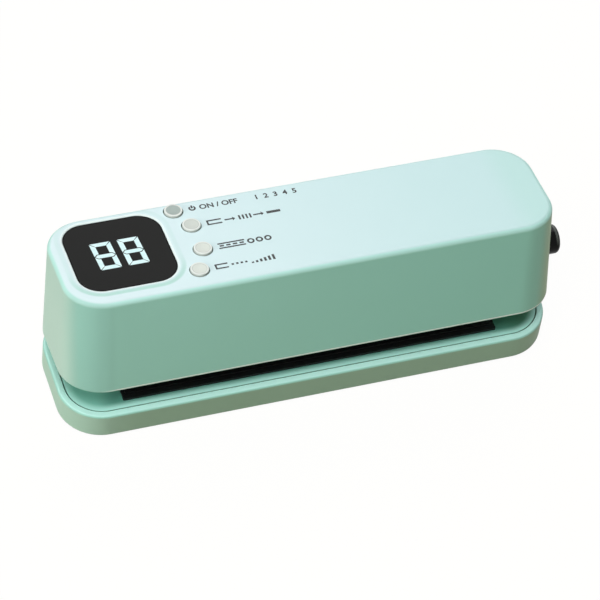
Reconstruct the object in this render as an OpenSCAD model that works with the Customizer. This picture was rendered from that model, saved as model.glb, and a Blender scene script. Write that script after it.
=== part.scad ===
// Vacuum sealer: a long low base, and a tall head hinged along its back edge that stands ajar on
// its springs so that a bag slides into the slot between them. Millimetres, Z up. The origin is the
// middle of the base's footprint, on the floor. +X is the end with the release button and -Y is the
// side with the bag slot. The head is drawn shut and level, then swung up to its ajar angle.

/* [Casing] */
// Overall length of the casing, end to end
body_length = 235; // [228:1:250]
// Depth of the casing, front to back, at the foot of its walls
body_depth = 63.4; // [62:0.1:72]
// Radius of the casing's upright corners, seen from above
corner_radius = 20.3; // [16:0.1:23]
// Wall thickness of the moulded casing
wall = 2.2; // [1.8:0.1:2.8]

/* [Base] */
// How far the rubber feet stand proud of the underside
foot_proud = 1; // [0.6:0.1:2]
// Diameter of each rubber foot
foot_diameter = 10; // [6:0.5:14]
// Height of the base casing
base_height = 13.8; // [13.4:0.1:14.6]
// Rounding of the base's top and bottom edges
base_round = 1.2; // [0.4:0.1:2]
// Width of the base's rim outside the groove
rim_width = 3.2; // [2.6:0.1:4]
// Width of the groove between the rim and the deck plate
groove_width = 0.5; // [0.3:0.1:1]
// How far the deck plate lies below the rim
deck_drop = 0.2; // [0:0.1:0.6]
// Thickness of the deck plate
deck_thickness = 2.2; // [1.8:0.1:3]

/* [Head] */
// Height of the head casing
head_height = 51; // [50:1:62]
// How far each wall of the head leans in from foot to top
head_taper = 2.2; // [1.2:0.1:2.6]
// Rounding of the head's top edge
top_round = 2.5; // [1:0.1:4]
// Rounding of the head's lower edge
foot_round = 0.8; // [0.3:0.1:1.4]
// Height of the open gap between rim and head when the head is shut
slot_gap = 7; // [6.5:0.1:9]
// Thickness of the floor plate that closes the head
head_floor_thickness = 2.4; // [2:0.1:3.2]
// How far the floor plate is set up inside the head
head_floor_recess = 0.8; // [0.4:0.1:1.4]

/* [Hinge] */
// Angle at which the springs hold the head ajar
ajar_angle = 8.3; // [4:0.1:10]
// Distance of the hinge pins in from the base's back face
pin_inset = 5.7; // [5.4:0.1:8]
// Height of the hinge pins above the base's underside
pin_rise = 12; // [11.6:0.1:12.6]
// Diameter of the hinge pins
pin_diameter = 3; // [2:0.1:3.4]
// Distance of each hinge from the middle
hinge_offset = 70; // [40:1:80]
// Width of each hinge arm
arm_width = 7; // [5:0.5:12]
// Radius of the hinge arm's eye
arm_eye_radius = 2.8; // [2.4:0.1:3.2]
// Thickness of each hinge ear
ear_thickness = 3; // [2:0.5:5]
// Wire of the lid springs
lid_spring_wire = 0.8; // [0.5:0.1:1]
// Turns in each lid spring
lid_spring_turns = 5; // [3:1:7]

/* [Sealing] */
// Length of the sealing pad and of the heater bar above it
seal_length = 180; // [150:1:180]
// Depth of the sealing pad, front to back
pad_depth = 9; // [7:0.5:9.5]
// Distance of the pad's front edge from the base's front face
pad_front = 7.6; // [7.2:0.1:9]
// How far the pad stands proud of the deck
pad_proud = 1.2; // [0.8:0.1:2]
// Height of the pad's sealing bead
bead_height = 0.5; // [0.2:0.1:0.8]
// Width of the pad's sealing bead
bead_width = 3.4; // [2:0.1:5]
// Width of the foam of both gaskets
gasket_width = 5; // [3:0.5:6]
// How far the lower gasket stands proud of the deck
lower_gasket_proud = 4; // [3:0.1:5]
// Width of the heater bar
heater_bar_width = 5; // [4:0.5:6]
// Width of the heating strip
heating_strip_width = 3; // [2:0.1:4]

/* [Vacuum chamber] */
// Length of the chamber
chamber_length = 156; // [150:1:160]
// Depth of the chamber, front to back
chamber_depth = 15; // [14:0.5:16]
// Distance of the chamber's middle behind the middle between sealing pad and hinges
chamber_offset = -0.45; // [-1:0.05:1]
// How deep the lower chamber goes below the deck's top
chamber_drop = 6.4; // [4:0.1:7]

/* [Display] */
// Width of the display window
window_width = 45.6; // [38:0.1:50]
// Depth of the display window, front to back
window_depth = 45.6; // [36:0.1:47]
// Corner radius of the window
window_radius = 11; // [4:0.5:14]
// Distance of the window's middle from the left end
window_inset = 32.6; // [30:0.1:40]
// Distance of the window's middle behind the middle of the casing
window_offset = 2.7; // [0:0.1:3]
// Thickness of the window's lens
lens_thickness = 1.2; // [1:0.1:1.6]
// Depth of the shallow dish that the window lies in
dish_depth = 0.5; // [0.3:0.05:0.8]
// Width of the dish around the window
dish_width = 2.6; // [1.4:0.1:3]
// Width of the steep bevel at the inner edge of the dish
bevel_width = 0.4; // [0.2:0.05:0.6]
// Width of a lit digit
digit_width = 9.6; // [6:0.1:12]
// Height of a lit digit
digit_height = 18; // [12:0.1:24]
// Distance between the two digits' middles
digit_pitch = 12.8; // [11:0.1:16]
// Width of a digit's strokes
stroke = 2.3; // [1.5:0.1:3]
// Gap between two strokes
stroke_gap = 0.3; // [0.2:0.05:0.6]
// How far the digits lean to the left for each unit of height
digit_lean = 0.048; // [0:0.002:0.1]

/* [Keys] */
// Diameter of the round keys
key_diameter = 8.4; // [6:0.1:9]
// How far the keys stand proud of the head's top
key_proud = 1; // [0.7:0.1:1.6]
// Depth of the dish in a key's face
key_dish = 0.35; // [0.1:0.05:0.5]
// How far a key travels when pressed
key_travel = 0.5; // [0.3:0.1:0.6]
// Gap all round a key in its hole
key_gap = 0.3; // [0.2:0.05:0.5]
// Distance of the keys from the window's middle
key_arc_radius = 37; // [34:0.1:40]
// Distance of the power key's middle in front of the casing's back face
key_inset = 8.5; // [8:0.1:12]

/* [Release button] */
// Diameter of the release button
button_diameter = 14; // [9:0.1:15]
// How far the button stands out of the head's end
button_proud = 7.9; // [5:0.1:9]
// Rounding of the button's face edge
button_round = 2; // [0.5:0.1:3]
// How far the button travels when pressed
button_travel = 3; // [1.5:0.1:3.4]
// Height of the button above the head's lower edge
button_height = 17.9; // [15:0.1:24]
// Distance of the button in front of the head's middle
button_front = 4.3; // [0:0.1:8]

/* [Power and pump] */
// Diameter of a battery cell
cell_diameter = 18.4; // [14:0.1:18.6]
// Length of a battery cell
cell_length = 65.2; // [50:0.1:66]
// Diameter of the pump motor
motor_diameter = 24; // [20:0.5:24.5]
// Length of the pump motor's can
motor_length = 28; // [20:0.5:28]
// Side of the square pump body
pump_side = 25; // [22:0.5:26]
// Outside diameter of the air hoses
hose_diameter = 6; // [5:0.1:6]
// Bore of the air hoses
hose_bore = 3; // [2:0.1:3.4]

/* [Hidden] */
$fn = 64;

// Clearances
fit_gap = 0.2;      // between a piece and the pocket it drops into
moving_gap = 0.3;   // between two pieces that move past each other
pin_running = 0.05; // between a shaft and the bore it turns in, on the radius
barb_fit = 0.01;    // between a hose's bore and the barb in it, on the radius
eps = 0.01;

// Colours
mint = "#b5e3d7";
mint_inside = "#9fd2c4";
jet = "#15181a";
foam_black = "#22262a";
pearl = "#dfe4df";
lit_white = "#e9fbff";
steel = "#b4b8bd";
board_green = "#1f6b46";

// Heights, with the head shut
base_z = foot_proud;
rim_z = base_z + base_height;
deck_z = rim_z - deck_drop;
deck_low_z = deck_z - deck_thickness;
base_floor = 2;
base_floor_z = base_z + base_floor;
head_z = rim_z + slot_gap;
top_z = head_z + head_height;
roof_z = top_z - wall;
plate_low_z = head_z + head_floor_recess;
plate_z = plate_low_z + head_floor_thickness;
pad_top_z = deck_z + pad_proud;
bead_z = pad_top_z + bead_height;

// Places
half_length = body_length / 2;
half_depth = body_depth / 2;
pin_y = half_depth - pin_inset;
pin_z = base_z + pin_rise;
pad_y = -half_depth + pad_front + pad_depth / 2;
pad_back_y = pad_y + pad_depth / 2;
hinge_pocket_back = half_depth - 1.7;
hinge_pocket_front = pin_y - 5;
chamber_y = (pad_back_y + hinge_pocket_front) / 2 + chamber_offset;
window_x = -half_length + window_inset;
window_y = window_offset;
power_key_angle = asin((half_depth - key_inset - window_y) / key_arc_radius);
key_angles = power_key_angle * [1, 0.418, -0.354, -1.006];
button_x = half_length - head_taper * button_height / head_height;
button_y = -button_front;
button_z = head_z + button_height;

// Inset of the head's outer wall from its foot, at height z
function lean(z) = head_taper * (z - head_z) / head_height;

// Points of a rounded rectangle, anticlockwise from +X
function outline(l, d, r, n) = [
    for (k = [0:3], j = [0:n])
        let (a = 90 * (k + j / n), sx = (k == 0 || k == 3) ? 1 : -1, sy = k < 2 ? 1 : -1)
            [sx * (l / 2 - r) + r * cos(a), sy * (d / 2 - r) + r * sin(a)]
];

// Solid through rounded rectangles, each [inset from the l by d outline, height]
module loft(rings, l, d, r, n = 14) {
    m = 4 * (n + 1);
    last = len(rings) - 1;
    points = [
        for (s = rings, q = outline(l - 2 * s[0], d - 2 * s[0], max(r - s[0], 0.3), n))
            [q.x, q.y, s[1]]
    ];
    sides = [
        for (i = [0:last - 1], j = [0:m - 1])
            let (k = (j + 1) % m) [i * m + j, (i + 1) * m + j, (i + 1) * m + k, i * m + k]
    ];
    foot = [for (j = [0:m - 1]) j];
    top = [for (j = [m - 1:-1:0]) last * m + j];
    polyhedron(points, concat([foot, top], sides));
}

// Rings of a quarter-round edge that turns in from inset_0 up to z_top
function top_edge(inset_0, z_top, r, steps = 5) = [
    for (i = [0:steps]) let (a = 90 * i / steps)
        [inset_0 + r * (1 - cos(a)), z_top - r * (1 - sin(a))]
];
function low_edge(inset_0, z_low, r, steps = 3) = [
    for (i = [0:steps]) let (a = 90 * i / steps)
        [inset_0 + r * (1 - sin(a)), z_low + r * (1 - cos(a))]
];

// Exact rounded rectangle
module rounded_rect(l, d, r) {
    square([l - 2 * r, d], center = true);
    square([l, d - 2 * r], center = true);
    for (sx = [-1, 1], sy = [-1, 1])
        translate([sx * (l / 2 - r), sy * (d / 2 - r)]) circle(r);
}
module rounded_plate(l, d, r, z_low, z_top) {
    translate([0, 0, z_low]) linear_extrude(z_top - z_low) rounded_rect(l, d, r);
}

// Casing outline set in by inset
module casing_plate(inset, z_low, z_top) {
    rounded_plate(body_length - 2 * inset, body_depth - 2 * inset, corner_radius - inset,
        z_low, z_top);
}

// Upright tube or rod at a point
module post(x, y, r, z_low, z_top) {
    translate([x, y, z_low]) cylinder(h = z_top - z_low, r = r);
}

// Rod along X
module rod_x(x_low, x_high, y, z, r) {
    translate([x_low, y, z]) rotate([0, 90, 0]) cylinder(h = x_high - x_low, r = r);
}

module box(x, y, z) {
    translate([x[0], y[0], z[0]]) cube([x[1] - x[0], y[1] - y[0], z[1] - z[0]]);
}

// Coil of round wire along Z from z = 0, swept as one closed tube. It starts at an angle, and
// its ends may run on as straight legs of the given lengths.
module coil(radius, wire, turns, length, angle = 0, legs = [0, 0], sides = 6, per_turn = 16) {
    n = round(turns * per_turn);
    stations = concat(
        legs[0] > 0 ? [[0, -legs[0]]] : [],
        [for (i = [0:n]) [i / n, 0]],
        legs[1] > 0 ? [[1, legs[1]]] : []
    );
    last = len(stations) - 1;
    points = [
        for (s = stations, j = [0:sides - 1])
            let (a = angle + 360 * turns * s[0], b = 360 * j / sides, q = radius + wire / 2 * cos(b))
                [
                    q * cos(a) - s[1] * sin(a), q * sin(a) + s[1] * cos(a),
                    wire / 2 + (length - wire) * s[0] + wire / 2 * sin(b)
                ]
    ];
    walls = [
        for (i = [0:last - 1], j = [0:sides - 1])
            let (k = (j + 1) % sides)
                [i * sides + j, i * sides + k, (i + 1) * sides + k, (i + 1) * sides + j]
    ];
    start = [for (j = [sides - 1:-1:0]) j];
    end = [for (j = [0:sides - 1]) last * sides + j];
    polyhedron(points, concat([start, end], walls));
}

// Swings what is drawn shut up to the ajar angle, about the hinge pins
module ajar() {
    translate([0, pin_y, pin_z]) rotate([-ajar_angle, 0, 0])
        translate([0, -pin_y, -pin_z]) children();
}

// ---- Screw places ----
screw_radius = 1.3;
screw_head_radius = 2.6;
screw_head_height = 1.2;
screw_hole_gap = 0.15;
boss_radius = 3;
corner_screw_x = half_length - 13.5;
corner_screw_y = half_depth - 13.7;
corner_screws = [
    [-corner_screw_x, -corner_screw_y], [-corner_screw_x, corner_screw_y],
    [corner_screw_x, -corner_screw_y], [corner_screw_x, corner_screw_y]
];

// Self-tapping screw whose head lies below z and whose shank goes up
module screw(x, y, z, length) {
    difference() {
        union() {
            post(x, y, screw_head_radius, z - screw_head_height, z);
            post(x, y, screw_radius, z - eps, z + length);
        }
        for (a = [0, 90]) translate([x, y, z - screw_head_height]) rotate(a)
            cube([3, 0.7, 1.4], center = true);
    }
}

// ---- Base ----
deck_inset = rim_width + groove_width;
deck_ledge = 1.6;
pad_seat = 1;         // how deep pad and lower gasket sit in the deck
seat_depth = 0.8;     // how deep heater bar and upper gasket sit in the head's floor
chamber_wall = 1.5;
chamber_radius = 3;
pocket_inset = deck_inset + deck_ledge;
rib_thickness = 1.2;
rib_slope = 3;
base_rib_top = deck_z - chamber_drop - chamber_wall - 0.7;
base_rib_x = [14, 34, 54, 90];
long_rib_y = half_depth - 19.7;
base_screw_places = concat(corner_screws,
    [[0, half_depth - pocket_inset - boss_radius - fit_gap]]);
hinge_inner_x = hinge_offset - arm_width / 2 - moving_gap - ear_thickness;
spring_length = 1.1 * (lid_spring_turns + 1) * lid_spring_wire;
spring_room = spring_length + 2 * moving_gap;
hinge_outer_x = hinge_offset + arm_width / 2 + spring_room + ear_thickness;
hinge_ear_radius = arm_eye_radius + 0.4;
mount_floor = 2.4;
arm_pad = 1.8;
foot_x = half_length - 22;
foot_y = half_depth - 15;
foot_recess = 0.8;

module hinge_pocket(z_low, z_top) {
    each_hinge()
        box([hinge_inner_x - fit_gap, hinge_outer_x + fit_gap],
            [hinge_pocket_front, hinge_pocket_back], [z_low, z_top]);
}

// Rib across the base from wall to wall along X: low on the floor, up at both ends to carry the
// deck's edge
module base_rib(half) {
    ledge = half - pocket_inset;
    side = [
        [half - rim_width / 2, base_floor_z - 0.5], [half - rim_width / 2, deck_low_z],
        [ledge, deck_low_z], [ledge - rib_slope, base_rib_top]
    ];
    other_side = [for (i = [len(side) - 1:-1:0]) [-side[i].x, side[i].y]];
    rotate([90, 0, 0]) linear_extrude(rib_thickness, center = true)
        polygon(concat(side, other_side));
}
module base_ribs() {
    for (x = base_rib_x, sx = [-1, 1]) translate([sx * x, 0, 0]) rotate(90) base_rib(half_depth);
    for (y = [-long_rib_y, long_rib_y]) translate([0, y, 0]) base_rib(half_length);
}

module base_shell() {
    color(mint) difference() {
        union() {
            difference() {
                loft(concat(low_edge(0, base_z, base_round), top_edge(0, rim_z, base_round)),
                    body_length, body_depth, corner_radius);
                casing_plate(rim_width, base_floor_z, rim_z + 1);
            }
            base_ribs();
        }
        hinge_pocket(base_floor_z, rim_z + 1);
        for (sx = [-1, 1], sy = [-1, 1])
            post(sx * foot_x, sy * foot_y, foot_diameter / 2 + fit_gap, 0, base_z + foot_recess);
        for (p = base_screw_places) post(p.x, p.y, screw_radius + screw_hole_gap, 0, rim_z);
        for (p = base_screw_places)
            post(p.x, p.y, screw_head_radius + fit_gap, 0, base_z + screw_head_height);
    }
}

module base_deck() {
    color(mint_inside) difference() {
        union() {
            casing_plate(deck_inset, deck_low_z, deck_z);
            translate([0, chamber_y, 0])
                rounded_plate(chamber_length + 2 * chamber_wall, chamber_depth + 2 * chamber_wall,
                    chamber_radius + chamber_wall, deck_z - chamber_drop - chamber_wall, deck_z);
            for (p = base_screw_places) post(p.x, p.y, boss_radius, base_floor_z, deck_z);
        }
        translate([0, chamber_y, 0])
            rounded_plate(chamber_length, chamber_depth, chamber_radius, deck_z - chamber_drop,
                deck_z + 1);
        gasket_ring(fit_gap / 2, deck_z - pad_seat, deck_z + 1);
        translate([0, pad_y, 0])
            rounded_plate(seal_length + fit_gap, pad_depth + fit_gap, 0.6, deck_z - pad_seat,
                deck_z + 1);
        hinge_pocket(0, rim_z);
        for (p = base_screw_places) post(p.x, p.y, screw_radius, 0, deck_z - 1.4);
    }
}

module rubber_feet() {
    color(foam_black) for (sx = [-1, 1], sy = [-1, 1])
        translate([sx * foot_x, sy * foot_y, 0]) rotate_extrude()
            polygon([[0, 0], [foot_diameter / 2 - 0.4, 0], [foot_diameter / 2, 0.4],
                [foot_diameter / 2, base_z + foot_recess], [0, base_z + foot_recess]]);
}

module base_screws() {
    color(steel) for (p = base_screw_places)
        screw(p.x, p.y, base_z + screw_head_height, deck_z - 1.6 - base_z - screw_head_height);
}

// ---- Seals ----
gasket_room = hinge_pocket_front - pad_back_y - chamber_depth - 2 * gasket_width;
gasket_side_margin = 0.225 * gasket_room;
gasket_end_margin = 6;
gasket_length = chamber_length + 2 * gasket_end_margin + 2 * gasket_width;
gasket_depth = chamber_depth + 2 * gasket_side_margin + 2 * gasket_width;
gasket_radius = gasket_width + 4;

module gasket_ring(grow, z_low, z_top) {
    translate([0, chamber_y, 0]) difference() {
        rounded_plate(gasket_length + 2 * grow, gasket_depth + 2 * grow, gasket_radius + grow,
            z_low, z_top);
        rounded_plate(gasket_length - 2 * gasket_width - 2 * grow,
            gasket_depth - 2 * gasket_width - 2 * grow, gasket_radius - gasket_width - grow,
            z_low - 1, z_top + 1);
    }
}

module seal_pad() {
    color(jet) translate([0, pad_y, 0]) {
        rounded_plate(seal_length, pad_depth, 0.5, deck_z - pad_seat, pad_top_z);
        rounded_plate(seal_length - 3, bead_width, 0.5, pad_top_z - eps, bead_z);
    }
}

module lower_gasket() {
    color(foam_black) gasket_ring(0, deck_z - pad_seat, deck_z + lower_gasket_proud);
}

upper_gasket_low = deck_z + lower_gasket_proud + moving_gap;
module upper_gasket() {
    color(foam_black) ajar() gasket_ring(0, upper_gasket_low, plate_low_z + seat_depth);
}

heater_low = bead_z + 2 * moving_gap;
tape_thickness = 0.2;
tape_low = 0.15;
strip_low = tape_low + tape_thickness;
strip_thickness = 0.2;
module heater_bar() {
    color(jet) ajar() translate([0, pad_y, 0]) difference() {
        rounded_plate(seal_length + 2, heater_bar_width, 0.6, heater_low + strip_low,
            plate_low_z + seat_depth);
        box([-seal_length / 2, seal_length / 2],
            [-heating_strip_width / 2, heating_strip_width / 2],
            [heater_low, heater_low + strip_low + strip_thickness]);
    }
}

module heating_strip() {
    color(steel) ajar() translate([0, pad_y, 0])
        box([-seal_length / 2, seal_length / 2],
            [-heating_strip_width / 2, heating_strip_width / 2],
            [heater_low + strip_low, heater_low + strip_low + strip_thickness]);
}

module slip_tape() {
    half = heater_bar_width / 2;
    color("#8a6f4d") ajar() translate([0, pad_y, 0]) difference() {
        box([-seal_length / 2, seal_length / 2], [-half - tape_thickness, half + tape_thickness],
            [heater_low + tape_low, plate_low_z]);
        box([-seal_length, seal_length], [-half, half], [heater_low + strip_low, plate_low_z + 1]);
    }
}

// ---- Hinges ----
module each_hinge() {
    for (s = [0, 1]) mirror([s, 0, 0]) children();
}

module hinge_mounts() {
    color(jet) each_hinge() difference() {
        union() {
            box([hinge_inner_x, hinge_outer_x],
                [hinge_pocket_front + fit_gap, hinge_pocket_back - fit_gap],
                [base_floor_z, base_floor_z + mount_floor]);
            for (x = [hinge_inner_x, hinge_outer_x - ear_thickness]) {
                rod_x(x, x + ear_thickness, pin_y, pin_z, hinge_ear_radius);
                box([x, x + ear_thickness],
                    [pin_y - hinge_ear_radius, pin_y + hinge_ear_radius],
                    [base_floor_z, pin_z]);
            }
        }
        rod_x(hinge_inner_x - 1, hinge_outer_x + 1, pin_y, pin_z, pin_diameter / 2);
    }
}

module hinge_pins() {
    color(steel) each_hinge()
        rod_x(hinge_inner_x, hinge_outer_x, pin_y, pin_z, pin_diameter / 2);
}

module hinge_arms() {
    arm_x = [hinge_offset - arm_width / 2, hinge_offset + arm_width / 2];
    color(mint_inside) ajar() each_hinge() difference() {
        union() {
            rod_x(arm_x[0], arm_x[1], pin_y, pin_z, arm_eye_radius);
            box(arm_x, [pin_y - 2, pin_y + 2], [pin_z, plate_low_z]);
            box([arm_x[0] - 3, arm_x[1] + 3], [pin_y - 5, pin_y + 2.6],
                [plate_low_z - arm_pad, plate_low_z]);
        }
        rod_x(arm_x[0] - 1, arm_x[1] + 1, pin_y, pin_z, pin_diameter / 2 + pin_running);
    }
}

// The outer leg stands on the mount's floor behind the pin. The inner one leaves over the pin,
// leaning forward, and ends under the arm's pad.
module lid_springs() {
    outer_x = hinge_offset + arm_width / 2 + moving_gap + spring_length;
    coil_r = pin_diameter / 2 + lid_spring_wire / 2 + 0.25;
    leave = 40;
    leave_z = pin_z + coil_r * sin(leave);
    pad_low_z = plate_low_z - arm_pad;
    foot_leg = pin_z - base_floor_z - mount_floor - fit_gap;
    pad_leg = (pad_low_z - moving_gap - lid_spring_wire / 2 - leave_z) / cos(leave);
    color(steel) each_hinge() translate([outer_x, pin_y, pin_z]) mirror([1, 0, 0])
        rotate([0, 90, 0])
            coil(coil_r, lid_spring_wire, lid_spring_turns + leave / 360, spring_length, 90,
                [foot_leg, pad_leg]);
}

// ---- Head casing ----
post_top = roof_z + 0.5;
rib_proud = 1.2;
head_rib_x = [12, 34, 68, 90];
end_rib_y = half_depth - 17.7;
window_ledge = 2;
head_screw_places = concat(corner_screws, [[0, half_depth - wall - boss_radius - 1]]);
lens_top = top_z - dish_depth;
lens_low = lens_top - lens_thickness;
key_hole_radius = key_diameter / 2 + key_gap;
key_flange_radius = key_diameter / 2 + 0.7;
key_flange = 1.2;
function key_x(i) = window_x + key_arc_radius * cos(key_angles[i]);
function key_y(i) = window_y + key_arc_radius * sin(key_angles[i]);
key_post_places = [
    [window_x + key_arc_radius - 4, window_y], [window_x + key_arc_radius + 4, window_y + 17.5],
    [window_x + key_arc_radius + 4, window_y - 17]
];
switch_height = 3.5;
switch_half = 3;
stem_in_switch = 1.2;
stem_tip_radius = 1.5;
key_board_z = roof_z - 8.2;
board_thickness = 1.6;
light_box_height = 6;
display_board_z = lens_low - light_box_height;
board_post_radius = 2;
display_board_x = window_width + 5.2;
display_board_y = 2 * (corner_screw_y - boss_radius - moving_gap - window_y);
display_post_x = display_board_x / 2 - board_post_radius - 0.1;
display_post_y = display_board_y / 2 - board_post_radius - 0.4;
port_width = 9;
port_height = 3.2;
port_gap = 0.3;
main_board_z = plate_z + 9;
port_z = main_board_z + board_thickness + port_height / 2;

module head_cavity() {
    loft(concat([[wall, head_z - 1], [wall, head_z + 1]],
        top_edge(wall + lean(roof_z), roof_z, 1.2, 3)),
        body_length, body_depth, corner_radius);
}

module window_plate(grow, z_low, z_top) {
    translate([window_x, window_y, 0])
        rounded_plate(window_width + 2 * grow, window_depth + 2 * grow, window_radius + grow,
            z_low, z_top);
}

// Steep bevel beside the lens, then a shallow slope that runs out into the head's top
module window_dish(steps = 6) {
    bevel_z = lens_top + 0.6 * dish_depth;
    rise = top_z + 2 * eps - bevel_z;
    slope = [
        for (i = [0:steps]) let (t = i / steps)
            [-bevel_width - (dish_width - bevel_width) * t, bevel_z + rise * (1 - pow(1 - t, 2))]
    ];
    translate([window_x, window_y, 0])
        loft(concat([[bevel_width / 2, lens_top - 0.05], [0, lens_top]], slope,
            [[-dish_width, top_z + 1]]), window_width, window_depth, window_radius);
}

// Rib out to the wall along +X, whose outer edge leans in with the wall. Its inner edge leans
// by inner_lean of that.
module head_rib(inner, outer, inner_lean = 1) {
    rotate([90, 0, 0]) linear_extrude(rib_thickness, center = true)
        polygon([
            [inner, plate_z], [outer, plate_z], [outer - lean(post_top), post_top],
            [inner - inner_lean * lean(post_top), post_top]
        ]);
}
module head_ribs() {
    sunk = wall / 2;
    for (x = head_rib_x, sx = [-1, 1], a = [90, -90]) translate([sx * x, 0, 0]) rotate(a)
        head_rib(half_depth - wall - rib_proud, half_depth - sunk);
    for (y = [-end_rib_y, end_rib_y], a = [0, 180]) translate([0, y, 0]) rotate(a)
        head_rib(half_length - wall - rib_proud, half_length - sunk);
    in_corner = [corner_screw_x - half_length + corner_radius,
        corner_screw_y - half_depth + corner_radius];
    for (p = corner_screws) translate([p.x, p.y, 0])
        rotate(atan2(sign(p.y) * in_corner.y, sign(p.x) * in_corner.x))
            head_rib(boss_radius - 0.5, corner_radius - norm(in_corner) - sunk, 0);
}

module head_shell() {
    color(mint) ajar() difference() {
        union() {
            difference() {
                loft(concat(low_edge(0, head_z, foot_round),
                    top_edge(lean(top_z), top_z, top_round, 7)),
                    body_length, body_depth, corner_radius, 18);
                head_cavity();
            }
            head_ribs();
            for (p = head_screw_places) post(p.x, p.y, boss_radius, plate_z, post_top);
            for (p = key_post_places)
                post(p.x, p.y, board_post_radius, key_board_z, post_top);
            for (sx = [-1, 1], sy = [-1, 1])
                post(window_x + sx * display_post_x, window_y + sy * display_post_y,
                    board_post_radius, display_board_z, post_top);
        }
        window_dish();
        window_plate(fit_gap / 2, lens_low, top_z + 1);
        window_plate(-window_ledge, roof_z - 1, top_z);
        for (i = [0:3]) {
            post(key_x(i), key_y(i), key_hole_radius, roof_z - 1, top_z + 1);
            post(key_x(i), key_y(i), key_flange_radius + key_gap,
                roof_z - key_flange - key_travel - 1, roof_z);
        }
        rod_x(button_x - 6, button_x + 3, button_y, button_z, button_diameter / 2 + moving_gap);
        rod_x(valve_front, flange_x + flange_thickness + moving_gap, button_y, button_z,
            button_flange_radius + moving_gap);
        translate([port_x, half_depth - 6, port_z]) rotate([-90, 0, 0]) linear_extrude(10)
            rounded_rect(port_width + 2 * port_gap, port_height + 2 * port_gap, port_height / 2);
        for (p = head_screw_places) post(p.x, p.y, screw_radius, plate_z - 1, plate_z + 9);
    }
}

nozzle_hole_radius = hose_bore / 2 + 0.4;
nozzle_x = [chamber_length / 2 - 16, chamber_length / 2 - 4];
nozzle_y = chamber_y - chamber_depth / 2 + nozzle_hole_radius + 0.2;
hose_low_z = plate_z + 1.6;
recess_depth = 1.2;
vent_slot_length = 7; // slots that let the pump's air out beside the gasket
vent_slot_width = 1.2;
module head_floor() {
    color(mint_inside) ajar() difference() {
        union() {
            casing_plate(wall + fit_gap, plate_low_z, plate_z);
            for (p = pillar_places) post(p.x, p.y, pillar_radius, plate_z - eps, main_board_z);
        }
        translate([0, chamber_y, 0])
            rounded_plate(chamber_length, chamber_depth, chamber_radius, plate_low_z - 1,
                plate_low_z + recess_depth);
        gasket_ring(fit_gap / 2, plate_low_z - 1, plate_low_z + seat_depth);
        translate([0, pad_y, 0])
            rounded_plate(seal_length + 2 + fit_gap, heater_bar_width + fit_gap, 0.7,
                plate_low_z - 1, plate_low_z + seat_depth);
        for (p = head_screw_places) {
            post(p.x, p.y, screw_radius + screw_hole_gap, plate_low_z - 1, plate_z + 1);
            post(p.x, p.y, screw_head_radius + fit_gap, plate_low_z - 1,
                plate_low_z + screw_head_height);
        }
        for (x = nozzle_x) post(x, nozzle_y, nozzle_hole_radius, plate_low_z - 1, plate_z + 1);
        for (i = [0:4]) translate([gasket_length / 2 + 8, 4 + 2 * vent_slot_width * i, 0])
            rounded_plate(vent_slot_length, vent_slot_width, 0.4 * vent_slot_width,
                plate_low_z - 1, plate_z + 1);
    }
}

module head_screws() {
    color(steel) ajar() for (p = head_screw_places)
        screw(p.x, p.y, plate_low_z + screw_head_height, 8);
}

// ---- Display ----
digit_depth = 0.25;
digits_shift = -0.2;
module display_lens() {
    color(jet) ajar() difference() {
        window_plate(0, lens_low, lens_top);
        digits(lens_top - digit_depth, 1);
    }
}

// Strokes of a digit with mitred ends: an outer level one, the middle one and an upright one
function edge_stroke(w) = [
    [stroke_gap, 0], [w - stroke_gap, 0], [w - stroke - 0.4 * stroke_gap, stroke],
    [stroke + 0.4 * stroke_gap, stroke]
];
function middle_stroke(w) = let (a = stroke_gap, b = stroke / 2) [
    [a, 0], [a + b, b], [w - a - b, b], [w - a, 0], [w - a - b, -b], [a + b, -b]
];
function upright_stroke(h) = [
    [0, stroke_gap], [0.55 * stroke, 0.55 * stroke + stroke_gap],
    [stroke, 0.6 * stroke + stroke_gap], [stroke, h - stroke - 0.4 * stroke_gap],
    [0, h - stroke_gap]
];

// Stroke mirrored by sx and sy, moved to x, y and leant over
module lean_stroke(points, x, y, sx, sy) {
    polygon([
        for (p = points) let (q = [x + sx * p.x, y + sy * p.y]) [q.x - digit_lean * q.y, q.y]
    ]);
}
module digit() {
    w = digit_width;
    h = digit_height / 2;
    for (sy = [-1, 1]) lean_stroke(edge_stroke(w), -w / 2, sy * h, 1, -sy);
    lean_stroke(middle_stroke(w), -w / 2, 0, 1, 1);
    for (sx = [-1, 1], sy = [-1, 1]) lean_stroke(upright_stroke(h), sx * w / 2, 0, -sx, sy);
}
module digits(z_low, height) {
    for (s = [-1, 1]) translate([window_x + s * digit_pitch / 2 + digits_shift, window_y, z_low])
        linear_extrude(height) digit();
}

module display_digits() {
    color(lit_white) ajar() digits(lens_top - digit_depth, digit_depth);
}

module display_module() {
    color(pearl) ajar() translate([window_x, window_y, 0])
        rounded_plate(window_width - 14, display_board_y - 1, 1, display_board_z, lens_low);
}

module display_board() {
    color(board_green) ajar() translate([window_x, window_y, 0])
        rounded_plate(display_board_x, display_board_y, 2, display_board_z - board_thickness,
            display_board_z);
}

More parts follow.
